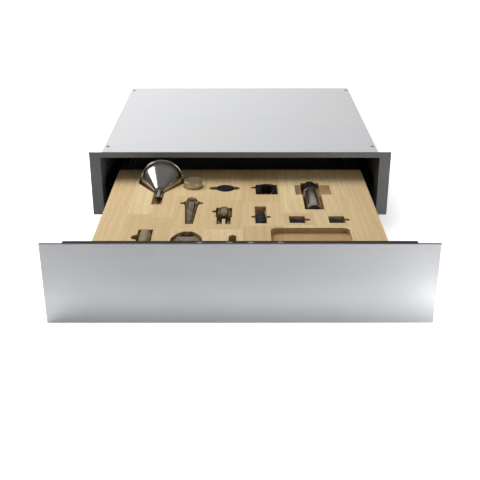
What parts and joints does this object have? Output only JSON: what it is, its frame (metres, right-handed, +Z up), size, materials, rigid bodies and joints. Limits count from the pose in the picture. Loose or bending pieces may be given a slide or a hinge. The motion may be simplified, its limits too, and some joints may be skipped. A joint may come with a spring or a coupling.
{
  "type": "sommelier drawer",
  "caption": "Built-in kitchen drawer on full-extension ball runners whose oak board holds wine tools in milled pockets; push-to-open steel front and painted steel carcass.",
  "frame": {"origin": "centre of the underside of the carcass", "axes": "+X to the right seen from the front, +Y into the cabinet, +Z up; rest is the drawer fully open"},
  "size_m": [0.597, 0.9723, 0.135],
  "materials": {
    "stainless_front": "brushed",
    "dark_paint": "satin dark grey",
    "black_paint": "satin black",
    "zinc_cover": "matt zinc plated",
    "galvanised": "zinc plated",
    "bearing_steel": "ground and polished",
    "bright_steel": "polished",
    "satin_steel": "satin",
    "screw_steel": "bright zinc",
    "oak": "oiled",
    "plywood": "raw",
    "black_plastic": "fine matt",
    "gloss_black": "gloss",
    "black_rubber": "matt",
    "grey_plastic": "moulded",
    "spring_steel": "drawn wire"
  },
  "bodies": {
    "carcass": {"carcass_shell": "dark_paint", "front_frame": "dark_paint", "top_cover": "zinc_cover", "rear_panel": "zinc_cover", "carcass_screws": "screw_steel", "latch_housing": "grey_plastic", "latch_screws": "screw_steel", "latch_spring": "spring_steel", "runner_bracket_left": "black_paint", "runner_bracket_right": "black_paint", "outer_runner_left": "galvanised", "outer_runner_right": "galvanised", "runner_screws_outer": "screw_steel"},
    "drawer": {"front_panel": "stainless_front", "inner_front": "black_paint", "panel_screws": "screw_steel", "drawer_tray": "dark_paint", "tray_screws": "screw_steel", "board_bearers": "plywood", "oak_board": "oak", "oak_stave_left": "oak", "oak_stave_inner": "oak", "oak_stave_middle": "oak", "oak_stave_right": "oak", "striker_plate": "galvanised", "inner_runner_left": "galvanised", "inner_runner_right": "galvanised", "runner_screws_inner": "screw_steel"},
    "latch_plunger": {"latch_plunger": "grey_plastic"},
    "middle_runner_left": {"middle_runner_left": "galvanised"},
    "outer_cage_left": {"outer_cage_left": "bearing_steel"},
    "inner_cage_left": {"inner_cage_left": "bearing_steel"},
    "middle_runner_right": {"middle_runner_right": "galvanised"},
    "outer_cage_right": {"outer_cage_right": "bearing_steel"},
    "inner_cage_right": {"inner_cage_right": "bearing_steel"},
    "funnel": {"funnel": "bright_steel", "funnel_spout": "bright_steel"},
    "round_stopper": {"round_stopper_cap": "satin_steel", "round_stopper_plug": "black_rubber"},
    "ring_stopper": {"ring_stopper_body": "gloss_black", "ring_stopper_band": "bright_steel"},
    "foil_cutter": {"foil_cutter_body": "black_plastic", "foil_cutter_wheels": "bright_steel"},
    "wine_pump": {"pump_seal": "black_rubber", "pump_barrel": "satin_steel", "pump_handle": "black_plastic"},
    "cone_stopper": {"cone_stopper": "bright_steel"},
    "arm_stopper": {"arm_stopper_cap": "bright_steel", "arm_stopper_arms": "bright_steel", "arm_stopper_seal": "black_rubber"},
    "pourer": {"pourer_plug": "black_rubber"},
    "short_stopper_left": {"short_stopper_left": "black_rubber"},
    "short_stopper_right": {"short_stopper_right": "black_rubber"},
    "thermometer": {"thermometer_case": "satin_steel", "thermometer_collar": "gloss_black"},
    "corkscrew": {"corkscrew_frame": "bright_steel", "corkscrew_levers": "bright_steel", "corkscrew_spindle": "bright_steel", "corkscrew_knob": "gloss_black", "corkscrew_worm": "bright_steel"}
  },
  "joints": [
    {"name": "drawer_slide", "type": "slide", "parent": "carcass", "child": "drawer", "axis": [0, -1, 0], "range_m": [-0.417, 0]},
    {"name": "middle_runner_left_slide", "type": "slide", "parent": "carcass", "child": "middle_runner_left", "axis": [0, -1, 0], "range_m": [-0.2085, 0]},
    {"name": "outer_cage_left_slide", "type": "slide", "parent": "carcass", "child": "outer_cage_left", "axis": [0, -1, 0], "range_m": [-0.10425, 0]},
    {"name": "inner_cage_left_slide", "type": "slide", "parent": "carcass", "child": "inner_cage_left", "axis": [0, -1, 0], "range_m": [-0.31275, 0]},
    {"name": "middle_runner_right_slide", "type": "slide", "parent": "carcass", "child": "middle_runner_right", "axis": [0, -1, 0], "range_m": [-0.2085, 0]},
    {"name": "outer_cage_right_slide", "type": "slide", "parent": "carcass", "child": "outer_cage_right", "axis": [0, -1, 0], "range_m": [-0.10425, 0]},
    {"name": "inner_cage_right_slide", "type": "slide", "parent": "carcass", "child": "inner_cage_right", "axis": [0, -1, 0], "range_m": [-0.31275, 0]},
    {"name": "latch_slide", "type": "slide", "parent": "carcass", "child": "latch_plunger", "axis": [0, -1, 0], "range_m": [-0.0035, 0.038], "deforming": ["latch_spring"]},
    {"name": "funnel_lift", "type": "slide", "parent": "drawer", "child": "funnel", "axis": [0, 0, 1], "range_m": [0, 0.11]},
    {"name": "round_stopper_lift", "type": "slide", "parent": "drawer", "child": "round_stopper", "axis": [0, 0, 1], "range_m": [0, 0.11]},
    {"name": "ring_stopper_lift", "type": "slide", "parent": "drawer", "child": "ring_stopper", "axis": [0, 0, 1], "range_m": [0, 0.11]},
    {"name": "foil_cutter_lift", "type": "slide", "parent": "drawer", "child": "foil_cutter", "axis": [0, 0, 1], "range_m": [0, 0.11]},
    {"name": "wine_pump_lift", "type": "slide", "parent": "drawer", "child": "wine_pump", "axis": [0, 0, 1], "range_m": [0, 0.11]},
    {"name": "cone_stopper_lift", "type": "slide", "parent": "drawer", "child": "cone_stopper", "axis": [0, 0, 1], "range_m": [0, 0.11]},
    {"name": "arm_stopper_lift", "type": "slide", "parent": "drawer", "child": "arm_stopper", "axis": [0, 0, 1], "range_m": [0, 0.11]},
    {"name": "pourer_lift", "type": "slide", "parent": "drawer", "child": "pourer", "axis": [0, 0, 1], "range_m": [0, 0.11]},
    {"name": "short_stopper_left_lift", "type": "slide", "parent": "drawer", "child": "short_stopper_left", "axis": [0, 0, 1], "range_m": [0, 0.11]},
    {"name": "short_stopper_right_lift", "type": "slide", "parent": "drawer", "child": "short_stopper_right", "axis": [0, 0, 1], "range_m": [0, 0.11]},
    {"name": "thermometer_lift", "type": "slide", "parent": "drawer", "child": "thermometer", "axis": [0, 0, 1], "range_m": [0, 0.11]},
    {"name": "corkscrew_lift", "type": "slide", "parent": "drawer", "child": "corkscrew", "axis": [0, 0, 1], "range_m": [0, 0.11]}
  ],
  "couplings": [
    {"joint": "middle_runner_left_slide", "follows": "drawer_slide", "ratio": 0.5},
    {"joint": "outer_cage_left_slide", "follows": "drawer_slide", "ratio": 0.25},
    {"joint": "inner_cage_left_slide", "follows": "drawer_slide", "ratio": 0.75},
    {"joint": "middle_runner_right_slide", "follows": "drawer_slide", "ratio": 0.5},
    {"joint": "outer_cage_right_slide", "follows": "drawer_slide", "ratio": 0.25},
    {"joint": "inner_cage_right_slide", "follows": "drawer_slide", "ratio": 0.75}
  ]
}
